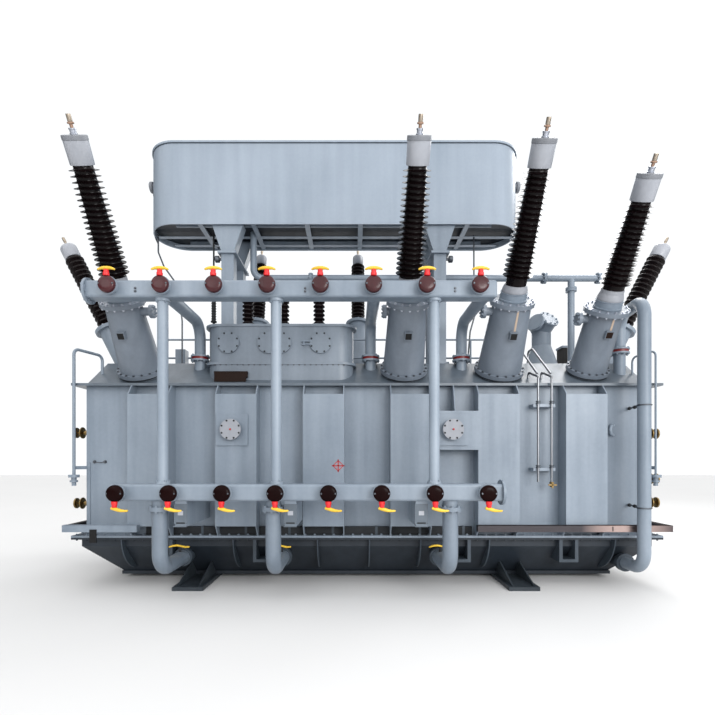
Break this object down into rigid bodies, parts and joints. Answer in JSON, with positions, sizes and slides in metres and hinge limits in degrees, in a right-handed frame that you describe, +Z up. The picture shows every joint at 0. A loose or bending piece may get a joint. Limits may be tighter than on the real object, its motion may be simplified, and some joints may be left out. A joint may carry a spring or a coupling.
{
  "type": "power transformer",
  "caption": "Outdoor power transformer: a stiffened oil tank with leaning high-voltage bushings, radiator headers with closed valves, and an oil conservator raised on posts.",
  "frame": {"origin": "middle of the bounding box at the level of the feet", "axes": "+X along the tank, to the right in the picture; +Y to the rear, away from the headers; +Z up"},
  "size_m": [8.4882, 3.7538, 5.79],
  "materials": {
    "tank_paint": "satin",
    "conservator_paint": "satin",
    "white_paint": "satin",
    "porcelain": "glossy",
    "cap_metal": "satin",
    "terminal_metal": "satin",
    "box_black": "matte",
    "disc_maroon": "satin",
    "stem_red": "satin",
    "lever_yellow": "satin",
    "stainless": "brushed",
    "brass": "satin"
  },
  "bodies": {
    "root": {"lower_tank": "tank_paint", "upper_tank": "tank_paint", "tank_cover": "tank_paint", "front_stiffeners": "tank_paint", "rear_stiffeners": "tank_paint", "end_stiffeners": "tank_paint", "hull_ribs": "tank_paint", "support_feet": "tank_paint", "jacking_brackets": "tank_paint", "upper_header": "tank_paint", "lower_header": "tank_paint", "header_brackets": "tank_paint", "link_pipes": "tank_paint", "downpipes": "tank_paint", "riser_stubs": "tank_paint", "riser_pipes": "tank_paint", "right_oil_pipe": "tank_paint", "hv_turrets": "tank_paint", "turret_branches": "tank_paint", "end_turrets": "tank_paint", "rear_turrets": "tank_paint", "lv_box": "tank_paint", "conservator_supports": "tank_paint", "conservator_ribs": "tank_paint", "relay_pipe": "tank_paint", "neck_turret": "tank_paint", "hand_hole_necks": "tank_paint", "valve_flanges": "tank_paint", "drain_valves": "tank_paint", "end_pipes": "tank_paint", "conservator": "conservator_paint", "hv_collars": "white_paint", "lv_covers": "white_paint", "hand_hole_covers": "white_paint", "hv_porcelains": "porcelain", "end_porcelains": "porcelain", "rear_porcelains": "porcelain", "lv_bushings": "porcelain", "hv_caps": "cap_metal", "end_caps": "cap_metal", "rear_caps": "cap_metal", "hv_terminals": "terminal_metal", "turret_boxes": "box_black", "level_gauges": "box_black", "breather": "box_black", "valve_discs": "disc_maroon", "valve_stems": "stem_red", "riser_rings": "stem_red", "valve_levers": "lever_yellow", "cable_trays": "stainless", "sample_pipes": "stainless", "end_wall_valves": "brass"}
  },
  "joints": []
}
